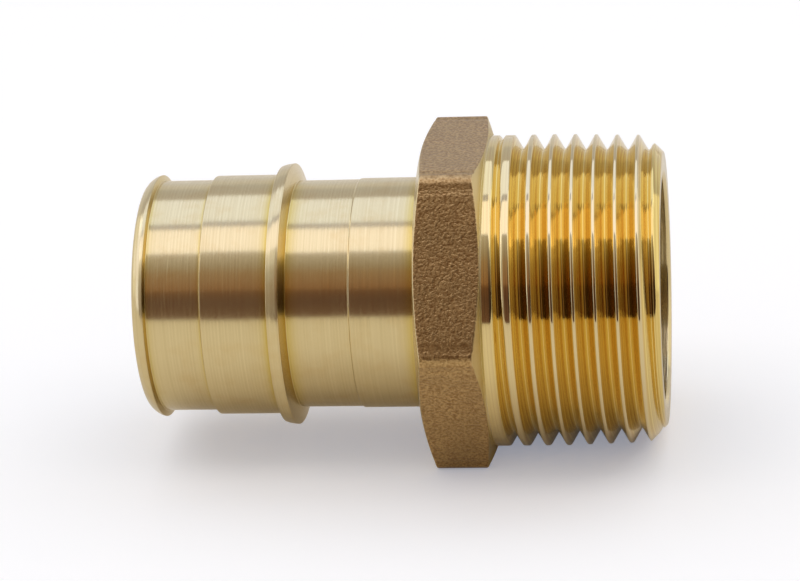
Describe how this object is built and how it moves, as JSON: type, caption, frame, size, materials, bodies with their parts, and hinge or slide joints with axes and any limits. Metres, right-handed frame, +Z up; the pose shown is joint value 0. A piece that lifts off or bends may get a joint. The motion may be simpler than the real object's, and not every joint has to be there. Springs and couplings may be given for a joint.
{
  "type": "pex male adapter",
  "caption": "Brass pipe adapter, one piece: a ribbed insert for expanded plastic pipe, a wrench hexagon, a tapered male pipe thread and a stepped bore right through.",
  "frame": {"origin": "on the waterway's axis, in the plane of the shoulder that the pipe stops against", "axes": "+X along the waterway towards the threaded end, +Z up with one hexagon flat facing straight down, +Y across that flat"},
  "size_m": [0.055, 0.0378, 0.033],
  "materials": {
    "brass": "turned and forged brass, satin"
  },
  "bodies": {
    "root": {"adapter_body": "brass"}
  },
  "joints": []
}
